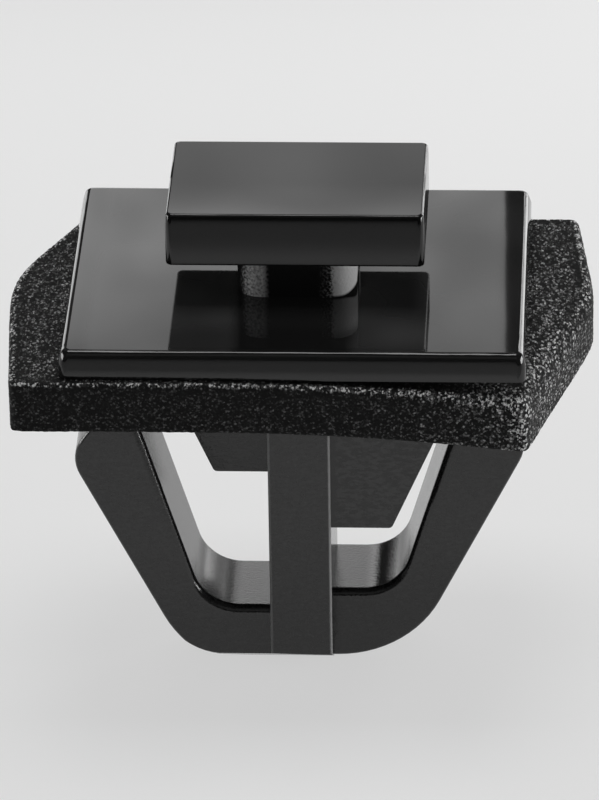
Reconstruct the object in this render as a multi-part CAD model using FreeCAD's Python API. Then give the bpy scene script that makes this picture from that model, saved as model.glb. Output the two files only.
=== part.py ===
import FreeCAD, Part
import math
import os

# Moulding retainer clip: a one-piece nylon clip and the sponge pad that seals its panel hole.
# Millimetres, +Z up, origin at the middle of the flat end of the nose, on the axis of the post.
# The clip looks the same after half a turn about Z, so each wing is made once and turned.

# Post and nose; the keel is a trough just below the nose's slopes that rounds their outer edges
post_width = 2.8
post_depth = 6.5
post_edge_radius = 0.13
nose_flat_depth = 3.0
nose_rise = 1.1
nose_edge_radius = 0.5
keel_half_width = 5.05
keel_side_angle = 33.0
keel_radius = 3.0
keel_drop = 0.02

# Spring arms; angles are from the vertical, and the shoulder and floor corners are before rounding
arm_depth = 4.58
arm_recess = 0.15
arm_shoulder_half_width = 10.35
arm_shoulder_radius = 1.8
arm_outer_angle = 26.6
arm_bend_radius = 5.2
arm_floor_half_width = 4.35
arm_floor_height = 3.4
arm_floor_radius = 2.1
arm_inner_angle = 17.0
arm_return_height = 2.6
arm_tip_gap = 1.65
arm_tip_width = 0.95
arm_tip_radius = 0.4
arm_outer_edge_radius = 0.16
arm_inner_edge_radius = 0.36

# Guide plates
plate_thickness = 1.0
plate_bottom_half_width = 4.13
plate_bottom_height = 7.57
plate_top_half_width = 7.4
plate_side_angle = 23.6
plate_corner_radius = 0.22

# Sponge pad: its die-cut outline from the post's axis, and the sag of its front right corner
foam_thickness = 2.4
foam_front_y = -8.8
foam_back_y = 7.85
foam_front_left_x = -12.4
foam_front_right_x = 10.3
foam_back_left_x = -10.1
foam_back_right_x = 12.4
foam_left_tip = (-13.05, 0.2)
foam_right_tip = (13.15, 1.0)
foam_corner_radius = 0.7
foam_slot_clearance = 0.3
foam_slot_radius = 0.5
foam_sag = 0.85
foam_sag_start_x = 0.4

# Flange: a straight land below, drafted sides and a round edge above
flange_underside_height = 17.75
flange_width = 20.46
flange_depth = 16.58
flange_thickness = 1.3
flange_land_thickness = 0.72
flange_draft = 0.17
flange_corner_radius = 0.38
flange_top_edge_radius = 0.3

# Neck and head; the head has a land, draft and round edge like the flange's, but straighter sides
neck_width = 5.3
neck_depth = 5.7
neck_length = 2.05
neck_corner_radius = 1.1
head_width = 11.4
head_depth = 7.7
head_thickness = 2.45
head_land_thickness = 1.9
head_side_draft = 0.03
head_front_draft = 0.155
head_corner_radius = 0.28
head_under_edge_radius = 0.1
head_top_edge_radius = 0.13

# Worked out from the sizes above
half_post_depth = post_depth / 2
flush_y = half_post_depth - arm_recess
nose_slope = nose_rise / (half_post_depth - nose_flat_depth / 2)
flange_top_height = flange_underside_height + flange_thickness
head_underside_height = flange_top_height + neck_length
head_top_height = head_underside_height + head_thickness
foam_underside_height = flange_underside_height - foam_thickness
arm_tip_height = foam_underside_height - arm_tip_gap
arm_shoulder_height = arm_tip_height - arm_return_height
same_place = 1e-6
rounding_slack = 0.02


def rounded_wire(corners, place):
    """Closed outline through (a, b, radius) corners, with tangent arcs; place maps (a, b) into space."""
    rounded = []
    for index, (a, b, radius) in enumerate(corners):
        corner = FreeCAD.Vector(a, b, 0)
        back = FreeCAD.Vector(*corners[index - 1][:2], 0) - corner
        ahead = FreeCAD.Vector(*corners[(index + 1) % len(corners)][:2], 0) - corner
        back.normalize()
        ahead.normalize()
        half_angle = back.getAngle(ahead) / 2
        run = radius / math.tan(half_angle)
        inward = (back + ahead).normalize() * (radius / math.sin(half_angle) - radius)
        rounded.append((corner + back * run, corner + inward, corner + ahead * run))
    edges = []
    for index, (start, middle, end) in enumerate(rounded):
        if start.distanceToPoint(end) > same_place:
            edges.append(Part.Arc(*[place(point.x, point.y) for point in (start, middle, end)]).toShape())
        following = rounded[(index + 1) % len(rounded)][0]
        if end.distanceToPoint(following) > same_place:
            edges.append(Part.LineSegment(place(end.x, end.y), place(following.x, following.y)).toShape())
    return Part.Wire(edges)


def front_prism(corners, y_start, y_end, climb=0):
    """Solid with an outline in X and Z, from one depth to another, climbing by a share of the way."""
    wire = rounded_wire(corners, lambda x, z: FreeCAD.Vector(x, y_start, z))
    return Part.Face(wire).extrude(FreeCAD.Vector(0, y_end - y_start, climb * abs(y_end - y_start)))


def side_prism(corners, x_start, x_end):
    """Solid with an outline in Y and Z, from one side to the other."""
    wire = rounded_wire(corners, lambda y, z: FreeCAD.Vector(x_start, y, z))
    return Part.Face(wire).extrude(FreeCAD.Vector(x_end - x_start, 0, 0))


def plan_wire(corners, z):
    """Outline in X and Y at one height."""
    return rounded_wire(corners, lambda x, y: FreeCAD.Vector(x, y, z))


def plan_prism(corners, z_start, z_end):
    """Solid with an outline in X and Y, from one height to another."""
    return Part.Face(plan_wire(corners, z_start)).extrude(FreeCAD.Vector(0, 0, z_end - z_start))


def rectangle(width, depth, radius):
    """Corners of a rectangle centred on the post."""
    x = width / 2
    y = depth / 2
    return [(-x, -y, radius), (x, -y, radius), (x, y, radius), (-x, y, radius)]


def half_turn(shape):
    """The same shape on the other side of the post."""
    turned = shape.copy()
    turned.rotate(FreeCAD.Vector(0, 0, 0), FreeCAD.Vector(0, 0, 1), 180)
    return turned


def slope(angle):
    """Sideways run for each millimetre of height."""
    return math.tan(math.radians(angle))


def rim(shape, axis, value):
    """Edges that lie wholly at one value of x, y or z."""
    def lies_there(edge):
        return all(abs(getattr(point, axis) - value) < same_place for point in edge.discretize(5))
    return [edge for edge in shape.Edges if not edge.Degenerated and lies_there(edge)]


def spring_arm():
    """Right arm: a wedge that bends up from the nose to its shoulder and passes behind its plate."""
    set_back_y = flush_y - arm_depth
    foot_x = arm_shoulder_half_width - slope(arm_outer_angle) * arm_shoulder_height
    tip_inner_x = arm_floor_half_width + slope(arm_inner_angle) * (arm_tip_height - arm_floor_height)
    tip_outer_x = tip_inner_x + arm_tip_width
    arm = front_prism([
        (0, 0, 0),
        (foot_x, 0, arm_bend_radius),
        (arm_shoulder_half_width, arm_shoulder_height, arm_shoulder_radius),
        (tip_outer_x, arm_tip_height, arm_tip_radius),
        (tip_inner_x, arm_tip_height, 0),
        (arm_floor_half_width, arm_floor_height, arm_floor_radius),
        (0, arm_floor_height, 0),
    ], set_back_y, flush_y)

    def reach(edge):
        """How far an edge lies behind the floor or the inner face, into the arm."""
        lean = math.radians(arm_inner_angle)

        def behind(point):
            across = point.x - arm_floor_half_width
            upward = point.z - arm_floor_height
            return max(-upward, across * math.cos(lean) - upward * math.sin(lean))
        return max(behind(point) for point in edge.discretize(3))

    def both_rims(shape):
        edges = rim(shape, "y", set_back_y) + rim(shape, "y", flush_y)
        return [edge for edge in edges if edge.BoundBox.XMax > same_place]

    inner_edges = [edge for edge in both_rims(arm) if reach(edge) < same_place]
    arm = arm.makeFillet(arm_inner_edge_radius, inner_edges)
    past_rounding = arm_inner_edge_radius + rounding_slack
    outer_edges = [edge for edge in both_rims(arm) if reach(edge) > past_rounding]
    return arm.makeFillet(arm_outer_edge_radius, outer_edges)


def guide_plate():
    """Right plate: a flat wing at the front of the post that steers the clip into its hole."""
    taper_height = (plate_top_half_width - plate_bottom_half_width) / slope(plate_side_angle)
    return front_prism([
        (0, plate_bottom_height, 0),
        (plate_bottom_half_width, plate_bottom_height, plate_corner_radius),
        (plate_top_half_width, plate_bottom_height + taper_height, plate_corner_radius),
        (plate_top_half_width, flange_underside_height, 0),
        (0, flange_underside_height, 0),
    ], -flush_y, -flush_y + plate_thickness)


def nose_envelope():
    """All that lies above the blunt nose: flat in the middle, sloping up to front and back."""
    flat_y = nose_flat_depth / 2
    wide_y = flat_y + post_depth
    wide_z = nose_slope * post_depth
    return side_prism([
        (-flat_y, 0, nose_edge_radius),
        (flat_y, 0, nose_edge_radius),
        (wide_y, wide_z, 0),
        (wide_y, flange_underside_height, 0),
        (-wide_y, flange_underside_height, 0),
        (-wide_y, wide_z, 0),
    ], -arm_shoulder_half_width, arm_shoulder_half_width)


def keel():
    """Trough that climbs with the front slope of the nose and rounds the slope's outer edges."""
    low_z = -nose_slope * (post_depth + nose_flat_depth / 2) - keel_drop
    high_z = low_z + 2 * flange_top_height
    wide_x = keel_half_width + slope(keel_side_angle) * (high_z - low_z)
    return front_prism([
        (-keel_half_width, low_z, keel_radius),
        (keel_half_width, low_z, keel_radius),
        (wide_x, high_z, 0),
        (-wide_x, high_z, 0),
    ], post_depth, -post_depth, nose_slope)


def anchor():
    """Everything below the flange: the post with its two arms and two plates."""
    post = plan_prism(rectangle(post_width, post_depth, post_edge_radius), 0, flange_underside_height)
    arm = spring_arm()
    plate = guide_plate()
    trough = keel()
    legs = post.fuse([arm, half_turn(arm)]).common(nose_envelope()).common(trough).common(half_turn(trough))
    return legs.fuse([plate, half_turn(plate)])


def drafted_block(width, depth, corner_radius, heights, drafts, top_edge_radius):
    """Block with straight sides up to its land, drafted sides above and a round top edge."""
    low_z, land_z, top_z = heights
    side_draft, front_draft = drafts
    wide = rectangle(width, depth, corner_radius)
    narrow = rectangle(width - 2 * side_draft, depth - 2 * front_draft, corner_radius)
    drafted = Part.makeLoft([plan_wire(wide, land_z), plan_wire(narrow, top_z)], True, True)
    drafted = drafted.makeFillet(top_edge_radius, rim(drafted, "z", top_z))
    return plan_prism(wide, low_z, land_z).fuse(drafted)


def flange():
    """Rectangular plate that presses the pad onto the panel."""
    heights = (flange_underside_height, flange_underside_height + flange_land_thickness, flange_top_height)
    return drafted_block(flange_width, flange_depth, flange_corner_radius, heights,
                         (flange_draft, flange_draft), flange_top_edge_radius)


def neck():
    """Square neck with round corners between the flange and the head."""
    low_z = flange_top_height - flange_thickness / 2
    high_z = head_underside_height + head_thickness / 2
    return plan_prism(rectangle(neck_width, neck_depth, neck_corner_radius), low_z, high_z)


def head():
    """Rectangular head that slides into the moulding's slot."""
    heights = (head_underside_height, head_underside_height + head_land_thickness, head_top_height)
    block = drafted_block(head_width, head_depth, head_corner_radius, heights,
                          (head_side_draft, head_front_draft), head_top_edge_radius)
    return block.makeFillet(head_under_edge_radius, rim(block, "z", head_underside_height))


def clip_body():
    """The whole moulding in one piece."""
    return anchor().fuse([flange(), neck(), head()]).removeSplitter()


def sagging_slab():
    """Slab as thick as the pad: level along its back edge, bent down to the right along its front."""
    left_x = foam_left_tip[0] - foam_thickness
    right_x = foam_right_tip[0] + foam_thickness
    bend_radius = (foam_front_right_x - foam_sag_start_x) ** 2 / (2 * foam_sag)

    def bent_point(x, y, z, sags):
        drop = bend_radius - math.sqrt(bend_radius ** 2 - (x - foam_sag_start_x) ** 2) if sags else 0
        return FreeCAD.Vector(x, y, z - drop)

    def section(y, sags):
        """Outline of the slab at one depth."""
        middle_x = (foam_sag_start_x + right_x) / 2

        def long_edge(z):
            points = [bent_point(x, y, z, sags) for x in (foam_sag_start_x, middle_x, right_x)]
            bent = Part.Arc(*points) if sags else Part.LineSegment(points[0], points[2])
            return FreeCAD.Vector(left_x, y, z), points, bent.toShape()

        low_start, low, low_bend = long_edge(foam_underside_height)
        high_start, high, high_bend = long_edge(flange_underside_height)
        return Part.Wire([
            Part.LineSegment(low_start, low[0]).toShape(),
            low_bend,
            Part.LineSegment(low[2], high[2]).toShape(),
            high_bend,
            Part.LineSegment(high[0], high_start).toShape(),
            Part.LineSegment(high_start, low_start).toShape(),
        ])

    return Part.makeLoft([section(foam_back_y, False), section(foam_front_y, True)], True, True)


def foam_seal():
    """Sponge pad under the flange, with a slot for the post and plates."""
    corners = [
        (foam_front_left_x, foam_front_y),
        (foam_front_right_x, foam_front_y),
        foam_right_tip,
        (foam_back_right_x, foam_back_y),
        (foam_back_left_x, foam_back_y),
        foam_left_tip,
    ]
    low_z = foam_underside_height - foam_thickness
    high_z = flange_underside_height + foam_thickness
    outline = plan_prism([(x, y, foam_corner_radius) for x, y in corners], low_z, high_z)
    slot_width = 2 * (plate_top_half_width + foam_slot_clearance)
    slot_depth = post_depth + 2 * foam_slot_clearance
    slot = plan_prism(rectangle(slot_width, slot_depth, foam_slot_radius), low_z, high_z)
    return sagging_slab().common(outline).cut(slot)


os.makedirs("parts", exist_ok=True)
for name, shape in (("clip_body", clip_body()), ("foam_seal", foam_seal())):
    solid = shape.Solids[0]
    solid.exportStep("parts/" + name + ".step")
    print(name, "solids", len(shape.Solids), "valid", solid.isValid(), "volume", round(solid.Volume, 2))
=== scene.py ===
import math
import bpy
import numpy as np
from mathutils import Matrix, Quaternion, Vector


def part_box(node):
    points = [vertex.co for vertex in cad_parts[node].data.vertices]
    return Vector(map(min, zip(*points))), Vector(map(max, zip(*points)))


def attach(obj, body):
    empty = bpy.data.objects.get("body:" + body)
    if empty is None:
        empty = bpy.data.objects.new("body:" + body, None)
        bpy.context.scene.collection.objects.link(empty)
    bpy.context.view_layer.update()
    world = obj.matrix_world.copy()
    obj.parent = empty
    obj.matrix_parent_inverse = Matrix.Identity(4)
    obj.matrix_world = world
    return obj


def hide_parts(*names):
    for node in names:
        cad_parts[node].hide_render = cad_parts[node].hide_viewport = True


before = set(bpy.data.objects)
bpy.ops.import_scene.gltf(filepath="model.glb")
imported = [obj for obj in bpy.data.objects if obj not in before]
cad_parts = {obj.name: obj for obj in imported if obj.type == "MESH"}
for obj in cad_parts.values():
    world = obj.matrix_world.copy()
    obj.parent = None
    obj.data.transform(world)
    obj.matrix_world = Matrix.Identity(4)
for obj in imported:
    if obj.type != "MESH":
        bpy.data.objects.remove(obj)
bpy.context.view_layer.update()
scene = bpy.context.scene
mm = 0.001
print("frame loaded:", ", ".join(sorted(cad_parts)))


# one socket of a finish, so that sums on it read as plain maths
class Signal:
    def __init__(self, finish, socket):
        self.finish = finish
        self.socket = socket

    def maths(self, operation, first, second=0.0):
        return self.finish.add("ShaderNodeMath", {"operation": operation}, {0: first, 1: second})

    def __add__(self, other):
        return self.maths("ADD", self, other)

    def __radd__(self, other):
        return self.maths("ADD", other, self)

    def __sub__(self, other):
        return self.maths("SUBTRACT", self, other)

    def __rsub__(self, other):
        return self.maths("SUBTRACT", other, self)

    def __mul__(self, other):
        return self.maths("MULTIPLY", self, other)

    def __rmul__(self, other):
        return self.maths("MULTIPLY", other, self)

    def __pow__(self, other):
        return self.maths("POWER", self, other)

    def __lt__(self, other):
        return self.maths("LESS_THAN", self, other)

    def __gt__(self, other):
        return self.maths("GREATER_THAN", self, other)

    def __abs__(self):
        return self.maths("ABSOLUTE", self)

    def atLeast(self, other):
        return self.maths("MAXIMUM", self, other)

    # another output of the same node
    def beside(self, name):
        return Signal(self.finish, self.socket.node.outputs[name])

    # 0 below low, 1 above high, a smooth rise between
    def rise(self, low, high):
        sockets = {"Value": self, "From Min": low, "From Max": high}
        return self.finish.add("ShaderNodeMapRange", {"interpolation_type": "SMOOTHSTEP"}, sockets)

    # a noise's middle range drawn out to 0 to 1
    def spread(self):
        return self.rise(0.3, 0.7)


# the node tree of a material or a world
class Finish:
    def __init__(self, owner):
        owner.use_nodes = True
        self.tree = owner.node_tree
        self.tree.nodes.clear()

    # adds any node: its settings first, then a value or a link for each socket
    def add(self, nodeType, settings=None, sockets=None, output=0):
        node = self.tree.nodes.new(nodeType)
        for name, value in (settings or {}).items():
            setattr(node, name, value)
        for name, value in (sockets or {}).items():
            if isinstance(value, Signal):
                self.tree.links.new(value.socket, node.inputs[name])
            else:
                node.inputs[name].default_value = value
        return Signal(self, node.outputs[output]) if node.outputs else None

    def place(self):
        return self.add("ShaderNodeTexCoord", output="Object")

    def axes(self, place):
        split = self.add("ShaderNodeSeparateXYZ", None, {0: place})
        return [split.beside(name) for name in "XYZ"]

    def stretch(self, place, scale):
        return self.add("ShaderNodeMapping", None, {"Vector": place, "Scale": scale})

    def noise(self, place, size, detail):
        sockets = {"Vector": place, "Scale": 1 / size, "Detail": detail}
        return self.add("ShaderNodeTexNoise", None, sockets)

    def blend(self, share, first, second):
        sockets = {0: share, 6: first, 7: second}
        return self.add("ShaderNodeMix", {"data_type": "RGBA"}, sockets, output=2)

    # height is in metres
    def bump(self, height):
        sockets = {"Strength": 1.0, "Distance": 1.0, "Height": height}
        return self.add("ShaderNodeBump", None, sockets)

    def output(self, surface, kind="ShaderNodeOutputMaterial"):
        self.add(kind, None, {"Surface": surface})


def grey(level):
    return (level, level, level, 1.0)


def newObject(name, points, faces, material):
    mesh = bpy.data.meshes.new(name)
    mesh.from_pydata(points.tolist(), [], faces.tolist())
    mesh.materials.append(material)
    mesh.shade_smooth()
    piece = bpy.data.objects.new(name, mesh)
    scene.collection.objects.link(piece)
    return piece


# Moulded clip: the solid's own facets, joined up, with smooth bends and crisp corners
clipSkin = {
    "joinWithin": 0.0002 * mm,
    "cornerAngle": 62.0,         # a turn between two facets past this is always a corner
    "creaseAngle": 13.5,         # and past this where both facets are wide
    "wideFacet": 0.3 * mm,
}

# greys are shares of white, heights count from the clip's lowest point and other places from its middle
nylonLook = {
    "refraction": 1.53,
    "flangeUnderside": 17.75 * mm,
    "neckFoot": 19.06 * mm,
    "neckTop": 21.09 * mm,
    "headTop": 23.5 * mm,        # just under the head's top face
    "dark": 0.006,               # the anchor's grey lies between these two
    "light": 0.033,
    "mottle": 1.4 * mm,
    "mottleShare": 0.2,          # how far mottle, grain and wrinkles each take it from one to the other
    "grainShare": 0.3,
    "wrinkleShare": 0.45,
    "plateShare": 1.3,           # more for the wrinkles on the guide plates
    "anchorRoughness": 0.15,
    "roughnessSpread": 0.05,
    "grain": 0.11 * mm,          # spark-eroded texture of the anchor and neck
    "anchorGrainDepth": 0.009 * mm,
    "neckGrainDepth": 0.02 * mm,
    "wrinkle": 0.18 * mm,
    "wrinkleStretch": (0.45, 1.0, 1.0),
    "wrinkleDepth": 0.006 * mm,  # on the guide plates
    "plateOut": 2.0 * mm,        # the plates' faces are further than this from the middle
    "paintedCreviceShade": 0.45 * mm,        # width of the painted shade on them beside the post
    "postHalf": (1.4 * mm, 3.25 * mm),
    "postEdge": 0.13 * mm,       # width of the post's rounded edges, painted as highlights
    "postEdgeFull": 0.4,         # share of it that is painted at full strength
    "postEdgeHighlight": (0.13, 0.34),    # painted highlights; two of them are paler
    "polished": 0.012,           # flange and head's top
    "polishedRoughness": 0.035,
    "wave": 5.0 * mm,            # slow waviness of the polished faces
    "waveDepth": 0.004 * mm,
    "paleTop": (0.03, 0.063),       # a paler grey on the flange's top
    "paleTopDepth": 0.06 * mm,      # it is on the flat face, not on the rounded rim
    "paleRun": (2.6 * mm, 8.7 * mm),   # from the neck's side towards the rim; nearer the middle it is left out, as painted shadow of the neck
    "paleSoft": 0.4 * mm,
    "paleFade": 1.08,             # by this times the run's end only rimShare is left
    "rimShare": 0.3,
    "headSide": 0.004,
    "headRoughness": 0.1,
    "headFall": 0.02,            # slope of the head's top, down to the front
    "sinkEnd": -0.5 * mm,        # its middle has sunk a little, so from here the front rises again
    "sinkRise": 7.0,             # by this times the square of the way
    "neckDark": 0.003,
    "neckRoughness": 0.22,
    "paintedNeckHighlight": 0.65,               # pale painted highlights on the neck's corners
    "paintedHighlightRoughness": 0.5,
    "neckHighlightOut": (0.3 * mm, 1.5 * mm),   # they fade in towards the front and back
    "neckHighlightRagged": 0.5 * mm,     # how far the grain breaks their edges
    "smoothFrom": (1.45 * mm, 1.7 * mm),   # the smooth one, at the right
    "smoothGrain": 0.2,
    "footFrom": 2.0 * mm,        # from here its foot rises by footRise times the square of the way
    "footRise": 600.0,
    "footSoft": 0.15 * mm,
    "fringeFrom": (0.9 * mm, 1.6 * mm),   # the specks at its left
    "fringeSpecks": (0.45, 0.65),
    "fringeShare": 0.3,
    "grainyFrom": (-2.5 * mm, -1.9 * mm),   # the grainy one, at the left
    "grainyTo": (-1.5 * mm, -1.2 * mm),
    "grainySpecks": 0.7,
    "grainyShare": 0.95,
}


def nylonFinish(look):
    material = bpy.data.materials.new("black nylon")
    finish = Finish(material)
    place = finish.place()
    x, y, z = finish.axes(place)
    sideways = abs(x)
    outwards = abs(y)
    mottle = finish.noise(place, look["mottle"], detail=4.0)
    grain = finish.noise(place, look["grain"], detail=3.0)
    wave = finish.noise(place, look["wave"], detail=1.0)
    drawn = finish.stretch(place, look["wrinkleStretch"])
    wrinkle = finish.noise(drawn, look["wrinkle"], detail=3.0).spread()
    top = z > look["flangeUnderside"]
    head = z > look["neckTop"]
    neck = (z > look["neckFoot"]) * (z < look["neckTop"])
    flangeTop = (z > look["neckFoot"] - look["paleTopDepth"]) * (z < look["neckFoot"])

    # painted highlights on the neck's corners, where the finish is also rougher and grainier: a smooth one
    # with a round foot and a specked fringe, and a grainy one
    ragged = x + look["neckHighlightRagged"] * (grain - 0.5)
    begun = ragged.rise(*look["smoothFrom"])
    way = (x - look["footFrom"]).atLeast(0.0)
    raised = z - way * way * look["footRise"]
    smooth = begun * (1 - look["smoothGrain"] + look["smoothGrain"] * grain)
    smooth = smooth * raised.rise(look["neckFoot"], look["neckFoot"] + look["footSoft"])
    fringe = x.rise(*look["fringeFrom"]) * (1 - begun) * grain.rise(*look["fringeSpecks"])
    grainy = ragged.rise(*look["grainyFrom"]) * (1 - ragged.rise(*look["grainyTo"]))
    grainy = grainy * (1 - look["grainySpecks"] + look["grainySpecks"] * grain.spread())
    # the pale grey of these patches is painted highlight, not the neck's own colour
    paintedNeckHighlight = smooth + look["fringeShare"] * fringe + look["grainyShare"] * grainy
    paintedNeckHighlight = neck * outwards.rise(*look["neckHighlightOut"]) * paintedNeckHighlight

    # guide plates: the outermost faces on one side of the post at the front, on the other at the back
    handed = x * y < 0.0
    postX, postY = look["postHalf"]
    plates = handed * (outwards > look["plateOut"]) * (sideways > postX) * (1 - top)
    # painted shade: a darker strip on the guide plates beside the post, where the corner is shaded
    paintedCreviceShade = plates * (1 - sideways.rise(postX, postX + look["paintedCreviceShade"]))
    # painted highlights on the post's rounded upright edges, paler on two of them, and rougher there
    roundedGlintEdge = sideways.rise(postX - look["postEdge"], postX - look["postEdgeFull"] * look["postEdge"])
    roundedGlintEdge = roundedGlintEdge * (outwards > postY - look["postEdge"]) * (1 - top)

    roughness = (
        look["anchorRoughness"]
        + (look["polishedRoughness"] - look["anchorRoughness"]) * top
        + (look["headRoughness"] - look["polishedRoughness"]) * head
        + (look["neckRoughness"] - look["polishedRoughness"]) * neck
        + (look["paintedHighlightRoughness"] - look["neckRoughness"]) * paintedNeckHighlight
        + (look["paintedHighlightRoughness"] - look["anchorRoughness"]) * roundedGlintEdge
        + look["roughnessSpread"] * (mottle - 0.5) * (1 - top)
    )
    forward = (look["sinkEnd"] - y).atLeast(0.0)
    height = (
        grain * (look["anchorGrainDepth"] * (1 - top) + look["neckGrainDepth"] * paintedNeckHighlight)
        + wave * (look["waveDepth"] * top)
        + (y * look["headFall"] + forward * forward * look["sinkRise"]) * head
        + wrinkle * look["wrinkleDepth"] * plates
    )
    shade = (
        0.5
        + look["mottleShare"] * (mottle - 0.5)
        + look["grainShare"] * (grain.spread() - 0.5)
        + (look["wrinkleShare"] + look["plateShare"] * plates) * (wrinkle - 0.5)
    )
    # a paler grey on the flange's top, left out across the middle as painted shadow of the neck, and fading
    # towards the rim
    paleStart, paleEnd = look["paleRun"]
    paleOutsideNeckShadow = sideways.rise(paleStart - look["paleSoft"], paleStart + look["paleSoft"])
    paleOutsideNeckShadow = paleOutsideNeckShadow * (1 - (1 - look["rimShare"]) * sideways.rise(paleEnd, look["paleFade"] * paleEnd))
    paleTop = finish.blend(wave.spread(), *map(grey, look["paleTop"]))
    colour = finish.blend(shade * (1 - paintedCreviceShade), grey(look["dark"]), grey(look["light"]))
    colour = finish.blend(roundedGlintEdge, colour, finish.blend(handed, *map(grey, look["postEdgeHighlight"])))
    colour = finish.blend(top, colour, grey(look["polished"]))
    colour = finish.blend(head * (z < look["headTop"]), colour, grey(look["headSide"]))
    colour = finish.blend(flangeTop * paleOutsideNeckShadow, colour, paleTop)
    colour = finish.blend(neck, colour, grey(look["neckDark"]))
    finish.output(finish.add("ShaderNodeBsdfPrincipled", None, {
        "Base Color": finish.blend(paintedNeckHighlight, colour, grey(look["paintedNeckHighlight"])),
        "Roughness": roughness,
        "IOR": look["refraction"],
        "Normal": finish.bump(height),
    }))
    return material


# the pairs of points on edges where two facets meet at a corner or a crease: a facet's width is twice
# its area over its longest side, and the turn is the angle between two facets' normals
def hardEdges(points, triangles, skin):
    corners = points[triangles]
    sides = np.roll(corners, -1, axis=1) - corners
    across = np.cross(sides[:, 0], sides[:, 1])
    doubleArea = np.linalg.norm(across, axis=1)
    normals = across / doubleArea[:, None]
    width = doubleArea / np.linalg.norm(sides, axis=2).max(axis=1)
    pairs = np.stack([triangles, np.roll(triangles, -1, axis=1)], axis=2).reshape(-1, 2)
    pairs = np.sort(pairs, axis=1)
    owner = np.repeat(np.arange(len(triangles)), 3)
    order = np.lexsort((pairs[:, 1], pairs[:, 0]))
    one, other = order[0::2], order[1::2]
    alike = (normals[owner[one]] * normals[owner[other]]).sum(axis=1)
    turn = np.degrees(np.arccos(np.clip(alike, -1, 1)))
    wide = np.minimum(width[owner[one]], width[owner[other]]) > skin["wideFacet"]
    hard = (turn > skin["cornerAngle"]) | ((turn > skin["creaseAngle"]) & wide)
    return pairs[one][hard]


# the solid's loose facets, joined where their points meet, with its hard edges marked
def makeClip(skin, material):
    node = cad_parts["clip_body"]
    points = np.empty(len(node.data.vertices) * 3)
    node.data.vertices.foreach_get("co", points)
    points = points.reshape(-1, 3)
    triangles = np.empty(len(node.data.loops), dtype=np.int64)
    node.data.loops.foreach_get("vertex_index", triangles)
    cells = np.round(points / skin["joinWithin"]).astype(np.int64)
    first, joined = np.unique(cells, axis=0, return_index=True, return_inverse=True)[1:]
    triangles = joined.reshape(-1)[triangles].reshape(-1, 3)
    points = points[first]
    piece = newObject("moulded_clip", points, triangles, material)
    edges = np.empty(len(piece.data.edges) * 2, dtype=np.int64)
    piece.data.edges.foreach_get("vertices", edges)
    edges = np.sort(edges.reshape(-1, 2), axis=1)
    hard = hardEdges(points, triangles, skin)
    numbered = np.array([len(points), 1])      # one number for each pair of points
    flags = np.isin(edges @ numbered, hard @ numbered)
    piece.data.edges.foreach_set("use_edge_sharp", flags)
    weighted = piece.modifiers.new("even shading", "WEIGHTED_NORMAL")
    weighted.mode = "FACE_AREA_WITH_ANGLE"
    weighted.weight = 100
    weighted.keep_sharp = True
    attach(piece, "root")
    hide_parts("clip_body")
    print("clip:", len(points), "points,", len(triangles), "facets,", int(flags.sum()), "hard edges")


# Sponge pad: a die-cut slab round a slot, its front right corner hanging a little, its skin broken by cells
spongePad = {
    "corners": [                 # mm
        (-12.4, -8.8), (10.3, -8.8), (13.26, 1.0), (12.4, 7.85),
        (-10.1, 7.85), (-12.73, 2.2), (-13.05, 0.2),
    ],
    "cornerPower": 70.0,         # higher is a sharper corner
    "slotHalf": (7.7, 3.55),     # mm
    "slotPower": 24.0,
    "thickness": 2.4 * mm,
    "edgeRound": 0.24 * mm,
    "lowRound": 0.14 * mm,
    "softRound": 0.6 * mm,       # added to the top edge where it is worn, at the right
    "softAngle": -24.0,          # degrees from +X
    "softSpread": 28.0,
    "sag": 0.85 * mm,
    "sagStart": -4.0 * mm,
    "sagEnd": 10.3 * mm,
    "around": 900,               # sections round the pad
    "traced": 7201,              # points at which the outline is measured to space them evenly
    "rows": {"covered": 6, "open": 34, "topTurn": 11, "wall": 28, "lowTurn": 6, "under": 12, "slotWall": 6},
    "openFrom": 0.42,            # share of the way from slot to outline past which the top's rows are close
    "cell": 0.2 * mm,
    "cellDepth": 0.04 * mm,
    "drift": 2.6 * mm,           # slow unevenness of the cut
    "driftDepth": 0.03 * mm,
    "seed": 7,
    "wallGlint": 0.27,            # strength of the painted glints on the cut sides, against 1 on top
    "edgeShadeBand": 0.45 * mm,     # painted shade beside the sharp part of the cut top edge, where the flange shades the strip in front of it
    "coveredHalf": (10.2, 8.25),   # mm, painted shadow under the flange: fewer glints there
    "coveredGlint": 0.1,
    "roundedEdgeGlint": 0.55,            # how much stronger all painted glints are where the edge is worn
    "edgeBand": 0.1 * mm,        # width of the painted highlight along the cut top edge
    "edgeGlint": 4.0,
    "roundedEdgeBand": 4.0,             # it is wider by this share at the front where the edge is worn
    "roundedEdgeShare": 0.3,            # and this share of it is left there, to the right of the upright corner
    "cornerAngle": -40.7,        # degrees from +X, the upright corner that has painted glints too
    "cornerSpread": 1.5,
    "cornerFlare": 1.3,          # it is wider by this share at its top
    "cornerFlareDepth": 0.8 * mm,
    "cornerReach": 1.3 * mm,     # how far its painted glints go in over the top
    "cornerGlint": 4.2,
}

spongeLook = {
    "dark": 0.004,
    # specks of this grey are painted glints of the cell walls
    "speck": 0.8,
    "cell": 0.098 * mm,
    "cellStretch": (1.0, 0.62, 1.0),   # cells are longer from front to back
    "cellDepth": 0.03 * mm,
    "cellEdge": (0.3, 1.0),      # where a cell's speck fades, in cells
    "patch": 1.1 * mm,           # size of the patches with more or fewer specks
    "patchLeast": 0.5,
    "ragged": 0.09 * mm,         # breaks the cells' outlines
    "rarity": 3.5,               # higher leaves fewer bright cells
    "roughness": 0.75,
    "sheen": 0.2,
}


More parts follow.
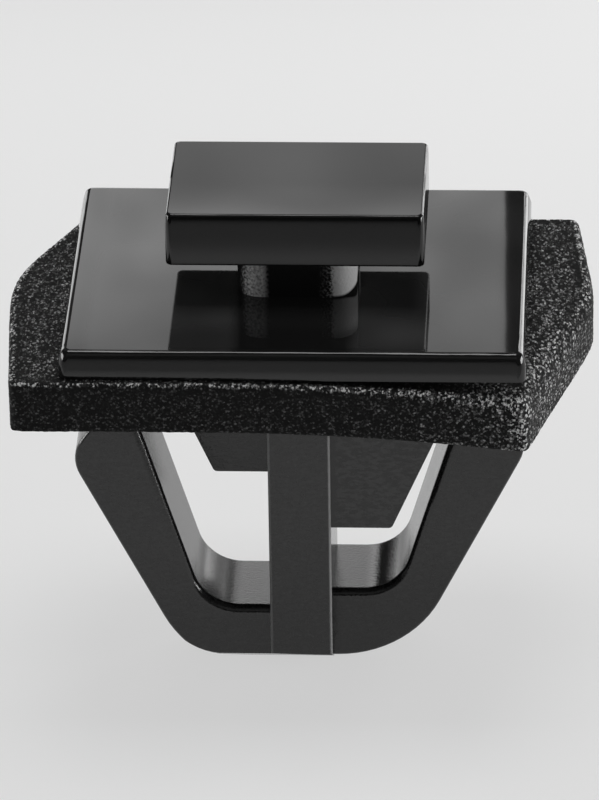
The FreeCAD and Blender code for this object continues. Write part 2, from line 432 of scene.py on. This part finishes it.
def spongeFinish(look):
    material = bpy.data.materials.new("black sponge")
    finish = Finish(material)
    place = finish.place()
    drawn = finish.stretch(place, look["cellStretch"])
    cells = {"Vector": drawn, "Scale": 1 / look["cell"], "Randomness": 1.0}
    distance = finish.add("ShaderNodeTexVoronoi", {"feature": "F1"}, cells)
    chance = finish.axes(distance.beside("Color"))[0]
    patches = finish.noise(place, look["patch"], detail=2.0)
    ragged = finish.noise(drawn, look["ragged"], detail=1.0).spread()
    paintedGlint = finish.add("ShaderNodeAttribute", {"attribute_name": "paintedGlint"}, output="Fac")
    # bright specks: painted glints of the cell walls, scaled by the attribute that maps them
    speck = (chance ** look["rarity"]) * ragged * paintedGlint * (look["patchLeast"] + patches)
    speck = speck * (1 - distance.rise(*look["cellEdge"]))
    height = look["cellDepth"] * (1 - distance) * chance
    finish.output(finish.add("ShaderNodeBsdfPrincipled", None, {
        "Base Color": finish.blend(speck, grey(look["dark"]), grey(look["speck"])),
        "Roughness": look["roughness"],
        "Specular IOR Level": look["sheen"],
        "Normal": finish.bump(height),
    }))
    return material


# how far a convex outline is from the axis in each direction:
# one over the power mean, over its sides, of the direction's lean to that side over the side's distance
def polarOutline(angles, corners, power):
    corners = np.array(corners) * mm
    along = np.roll(corners, -1, axis=0) - corners
    outward = np.stack([along[:, 1], -along[:, 0]], axis=1)
    outward = outward / np.linalg.norm(along, axis=1)[:, None]
    distance = (outward * corners).sum(axis=1)
    heading = np.stack([np.cos(angles), np.sin(angles)], axis=1)
    lean = np.clip(heading @ (outward / distance[:, None]).T, 0, None)
    largest = lean.max(axis=1)
    return 1 / (largest * ((lean / largest[:, None]) ** power).sum(axis=1) ** (1 / power))


# distance from each point to the nearest of one random point per cube of a grid, in cubes
def cellDistance(points, size, seed):
    repeat = 32                  # cubes until the random points come again
    table = np.random.default_rng(seed).random((repeat, repeat, repeat, 3))
    place = points / size
    cube = np.floor(place).astype(np.int64)
    nearest = np.full(points.shape[:-1], np.inf)
    for step in np.ndindex(3, 3, 3):
        near = cube + np.array(step) - 1
        again = near % repeat
        spot = near + table[again[..., 0], again[..., 1], again[..., 2]]
        nearest = np.minimum(nearest, np.linalg.norm(place - spot, axis=-1))
    return nearest


# 1 at no distance and almost nothing at twice the reach: e to the minus square of distance over reach
def bell(distance, reach):
    return np.exp(-(distance / reach) ** 2)


# degrees from one direction to each of some angles, at most half a turn either way
def turnFrom(direction, angles):
    return (np.degrees(angles) - direction + 180) % 360 - 180


# the section of the pad as one closed line: share of the way from slot to outline,
# then how much of the top edge's and of the bottom edge's radius it is drawn in by,
# then how much of the thickness and of each radius it lies deep
def padSection(rows, openFrom):
    topTurn = np.linspace(0, math.pi / 2, rows["topTurn"])[1:-1]
    lowTurn = np.linspace(0, math.pi / 2, rows["lowTurn"])[1:-1]
    wall = np.linspace(0, 1, rows["wall"])
    covered = np.linspace(0, openFrom, rows["covered"], endpoint=False)
    upper = np.concatenate([covered, np.linspace(openFrom, 1, rows["open"])])
    under = np.linspace(1, 0, rows["under"])
    slotWall = np.linspace(1, 0, rows["slotWall"])[1:-1]
    nothing = [0 * run for run in (upper, topTurn, wall, lowTurn, under, slotWall)]
    pieces = {
        "share": [upper, 0 * topTurn + 1, 0 * wall + 1, 0 * lowTurn + 1, under, 0 * slotWall],
        "topInset": [upper, 1 - np.sin(topTurn), *nothing[2:]],
        "lowInset": [*nothing[:3], 1 - np.cos(lowTurn), under, nothing[5]],
        "thickness": [*nothing[:2], wall, 0 * lowTurn + 1, 0 * under + 1, slotWall],
        "topDepth": [nothing[0], 1 - np.cos(topTurn), 1 - wall, *nothing[3:]],
        "lowDepth": [*nothing[:2], -wall, np.sin(lowTurn) - 1, *nothing[4:]],
    }
    return {name: np.concatenate(runs) for name, runs in pieces.items()}


# strength of the painted glints of the cell walls at each point, 1 on the open top: less on the cut sides,
# painted shade under the flange and beside a sharp cut edge, a painted highlight along that edge, stronger
# where it is worn, and painted glints on the upright corner
def paintedGlintMap(pad, x, y, depth, inward, onTop, roundedGlintEdge, cornerAway):
    apart = np.hypot(depth, inward)
    wall = np.clip(depth / pad["edgeShadeBand"], 0, 1)
    # painted shade: fewer glints beside the sharp top edge and, below, under the flange
    edgeShade = bell(apart, pad["edgeShadeBand"]) * (1 - roundedGlintEdge)
    paintedGlint = (1 - edgeShade) * (1 - wall * (1 - pad["wallGlint"]) * (1 - roundedGlintEdge))
    coveredX, coveredY = (half * mm for half in pad["coveredHalf"])
    covered = np.clip((coveredX - np.abs(x)) / pad["edgeBand"], 0, 1)
    covered = covered * np.clip((coveredY - np.abs(y)) / pad["edgeBand"], 0, 1) * onTop
    paintedGlint = paintedGlint * (1 - (1 - pad["coveredGlint"]) * covered)
    paintedGlint = paintedGlint * (1 + pad["roundedEdgeGlint"] * roundedGlintEdge)
    beyond = np.clip(cornerAway / pad["cornerSpread"], 0, 1)
    edgeBand = pad["edgeBand"] * (1 + pad["roundedEdgeBand"] * roundedGlintEdge * (1 - beyond))
    left = 1 - (1 - pad["roundedEdgeShare"]) * roundedGlintEdge * beyond
    paintedGlint = paintedGlint + pad["edgeGlint"] * bell(apart, edgeBand) * left
    flare = 1 + pad["cornerFlare"] * bell(depth, pad["cornerFlareDepth"])
    upright = bell(cornerAway, pad["cornerSpread"] * flare)
    return paintedGlint + pad["cornerGlint"] * upright * bell(inward, pad["cornerReach"])


# a ring of sections: in each direction the section runs from the slot to the outline,
# hangs by an arc's drop to the right that fades towards the back, and is pitted along its normals
def makePad(pad, material):
    low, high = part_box("foam_seal")
    even = np.linspace(0, 2 * math.pi, pad["traced"])
    reach = polarOutline(even, pad["corners"], pad["cornerPower"])
    steps = np.hypot(np.diff(reach * np.cos(even)), np.diff(reach * np.sin(even)))
    travel = np.concatenate([[0], np.cumsum(steps)])
    angles = np.interp(np.linspace(0, travel[-1], pad["around"], endpoint=False), travel, even)[:, None]
    outer = polarOutline(angles[:, 0], pad["corners"], pad["cornerPower"])[:, None]
    halfX, halfY = pad["slotHalf"]
    slotCorners = [(-halfX, -halfY), (halfX, -halfY), (halfX, halfY), (-halfX, halfY)]
    inner = polarOutline(angles[:, 0], slotCorners, pad["slotPower"])[:, None]
    # the worn right part of the top edge: more rounded, and with stronger painted glints
    roundedGlintEdge = bell(turnFrom(pad["softAngle"], angles), pad["softSpread"])
    topRound = pad["edgeRound"] + pad["softRound"] * roundedGlintEdge
    lowRound = pad["lowRound"]
    section = padSection(pad["rows"], pad["openFrom"])
    radius = inner + (outer - inner) * section["share"]
    radius = radius - topRound * section["topInset"] - lowRound * section["lowInset"]
    depth = pad["thickness"] * section["thickness"]
    depth = depth + topRound * section["topDepth"] + lowRound * section["lowDepth"]
    x = radius * np.cos(angles)
    y = radius * np.sin(angles)
    bend = (pad["sagEnd"] - pad["sagStart"]) ** 2 / (2 * pad["sag"])
    drop = bend - np.sqrt(bend ** 2 - np.clip(x - pad["sagStart"], 0, None) ** 2)
    drop = drop * (high.y - y) / (high.y - low.y)
    points = np.stack([x, y, high.z - depth - drop], axis=-1)
    normals = np.cross(
        np.roll(points, -1, axis=0) - np.roll(points, 1, axis=0),
        np.roll(points, -1, axis=1) - np.roll(points, 1, axis=1),
    )
    normals /= np.linalg.norm(normals, axis=-1, keepdims=True)
    pit = np.clip(1 - cellDistance(points, pad["cell"], pad["seed"]), 0, 1)
    drift = np.clip(1 - cellDistance(points, pad["drift"], pad["seed"] + 1), 0, 1)
    points = points + normals * (pit * pad["cellDepth"] + drift * pad["driftDepth"])[..., None]
    rows, columns = points.shape[:2]
    grid = np.arange(rows * columns).reshape(rows, columns)
    right = np.roll(grid, -1, axis=1)
    faces = np.stack([grid, right, np.roll(right, -1, axis=0), np.roll(grid, -1, axis=0)], axis=-1)
    piece = newObject("sponge_pad", points.reshape(-1, 3), faces.reshape(-1, 4), material)
    inward = (outer - inner) * (1 - section["share"])
    onTop = section["thickness"] == 0
    cornerAway = turnFrom(pad["cornerAngle"], angles)
    paintedGlint = piece.data.attributes.new("paintedGlint", "FLOAT", "POINT")
    paintedGlint.data.foreach_set("value", paintedGlintMap(pad, x, y, depth, inward, onTop, roundedGlintEdge, cornerAway).ravel())
    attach(piece, "root")
    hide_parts("foam_seal")
    print("pad:", rows * columns, "points")


# Stage: a pale floor and plain soft panels that light the clip and show in its polish
floorLook = {
    "half": 4.0,                 # metres
    "height": -0.01 * mm,
    "colour": 0.86,
    "shown": 0.9,
    "ownShare": 0.62,            # how much of the floor's look is its own pale colour, not its lighting
    "frontFade": (-57.0 * mm, -46.0 * mm),   # further forward the polish shows the floor's lighting only
}

# in mm: a fade runs from one place to another and leaves a share of the level there,
# and uneven gives the size of soft clouds and the share of the level that they take
panels = {
    "rear_panel": {
        "centre": (-6.15, 80.0, 58.0), "across": (27.7, 0, 0), "upward": (0, 0, 76.0), "level": 2.65,
        "fadeRight": (-20.0, 12.0, 0.8), "fadeUp": (38.0, 76.0, 0.36), "uneven": (6.0, 0.32),
    },
    "rear_low_panel": {
        "centre": (24.85, 80.0, 24.0), "across": (34.3, 0, 0), "upward": (0, 0, 48.0), "level": 0.85,
    },
    "rear_right_panel": {
        "centre": (58.5, 80.0, 21.0), "across": (33.0, 0, 0), "upward": (0, 0, 42.0), "level": 3.2,
    },
    "rear_right_high_panel": {
        "centre": (50.5, 80.0, 54.0), "across": (49.0, 0, 0), "upward": (0, 0, 16.0), "level": 3.2,
    },
    "rear_left_panel": {
        "centre": (-61.0, 80.0, 21.0), "across": (38.0, 0, 0), "upward": (0, 0, 42.0), "level": 2.0,
    },
    "high_panel": {
        "centre": (0, 30.0, 420.0), "across": (220.0, 0, 0), "upward": (0, -165.0, 12.0), "level": 4.5,
    },
    "right_panel": {
        "centre": (330.0, 0, 44.0), "across": (0, -260.0, 0), "upward": (0, 0, 64.0), "level": 9.5,
    },
    "left_panel": {
        "centre": (-330.0, 0, 44.0), "across": (0, 260.0, 0), "upward": (0, 0, 64.0), "level": 7.0,
    },
    "front_panel": {
        "centre": (0, -600.0, 420.0), "across": (-700.0, 0, 0), "upward": (0, 0, 400.0), "level": 0.2,
    },
}

worldLevel = 0.04


def floorFinish(look):
    material = bpy.data.materials.new("pale floor")
    finish = Finish(material)
    camera = finish.add("ShaderNodeLightPath", output="Is Camera Ray")
    glossy = camera.beside("Is Glossy Ray")
    through = camera.beside("Is Transmission Ray")
    near = finish.axes(finish.place())[1].rise(*look["frontFade"])
    shown = camera.atLeast((glossy * near).atLeast(through))
    lit = finish.add("ShaderNodeBsdfDiffuse", None, {"Color": grey(look["colour"])})
    own = finish.add("ShaderNodeEmission", None, {"Color": grey(look["shown"]), "Strength": 1.0})
    share = shown * look["ownShare"]
    finish.output(finish.add("ShaderNodeMixShader", None, {0: share, 1: lit, 2: own}))
    return material


def panelFinish(name, panel):
    material = bpy.data.materials.new(name)
    finish = Finish(material)
    place = finish.place()
    axes = finish.axes(place)
    bright = 1 - finish.add("ShaderNodeNewGeometry", output="Backfacing")
    for axis, key in ((axes[0], "fadeRight"), (axes[2], "fadeUp")):
        if key in panel:
            start, end, left = panel[key]
            bright = bright * (1 - (1 - left) * axis.rise(start * mm, end * mm))
    if "uneven" in panel:
        size, share = panel["uneven"]
        clouds = finish.noise(place, size * mm, detail=1.0).spread()
        bright = bright * (1 - share * clouds)
    colour = finish.blend(bright, grey(0.0), grey(1.0))
    finish.output(finish.add("ShaderNodeEmission", None, {"Color": colour, "Strength": panel["level"]}))
    return material


def makeStage():
    square = np.array([(-1, -1, 0), (1, -1, 0), (1, 1, 0), (-1, 1, 0)])
    quad = np.array([[0, 1, 2, 3]])
    floorPoints = square * floorLook["half"] + np.array((0, 0, floorLook["height"]))
    newObject("floor", floorPoints, quad, floorFinish(floorLook))
    for name, panel in panels.items():
        centre, across, upward = (np.array(panel[key]) * mm for key in ("centre", "across", "upward"))
        points = centre + square[:, :1] * across / 2 + square[:, 1:2] * upward / 2
        card = newObject(name, points, quad, panelFinish(name, panel))
        card.visible_camera = False
    world = bpy.data.worlds.new("studio")
    scene.world = world
    finish = Finish(world)
    dim = finish.add("ShaderNodeBackground", None, {"Color": grey(1.0), "Strength": worldLevel})
    finish.output(dim, "ShaderNodeOutputWorld")
    print("stage:", len(panels), "panels")


# Camera: the photograph's angle
cameraPose = {
    "azimuth": 2.898,            # degrees to the right of the front
    "elevation": 28.034,
    "roll": -0.912,
    "distance": 328.29 * mm,
    "aim": (-0.08 * mm, 0.0, 12.4 * mm),
    "lens": 328.13,
}


def makeCamera(pose):
    turn, rise = math.radians(pose["azimuth"]), math.radians(pose["elevation"])
    back = Vector((math.sin(turn) * math.cos(rise), -math.cos(turn) * math.cos(rise), math.sin(rise)))
    data = bpy.data.cameras.new("camera")
    data.lens = pose["lens"]
    camera = bpy.data.objects.new("camera", data)
    camera.location = Vector(pose["aim"]) + back * pose["distance"]
    camera.rotation_mode = "QUATERNION"
    level = (-back).to_track_quat("-Z", "Y")
    camera.rotation_quaternion = level @ Quaternion((0, 0, 1), math.radians(pose["roll"]))
    scene.collection.objects.link(camera)
    scene.camera = camera


scene.view_settings.view_transform = "Standard"
makeCamera(cameraPose)
makeClip(clipSkin, nylonFinish(nylonLook))
makePad(spongePad, spongeFinish(spongeLook))
makeStage()
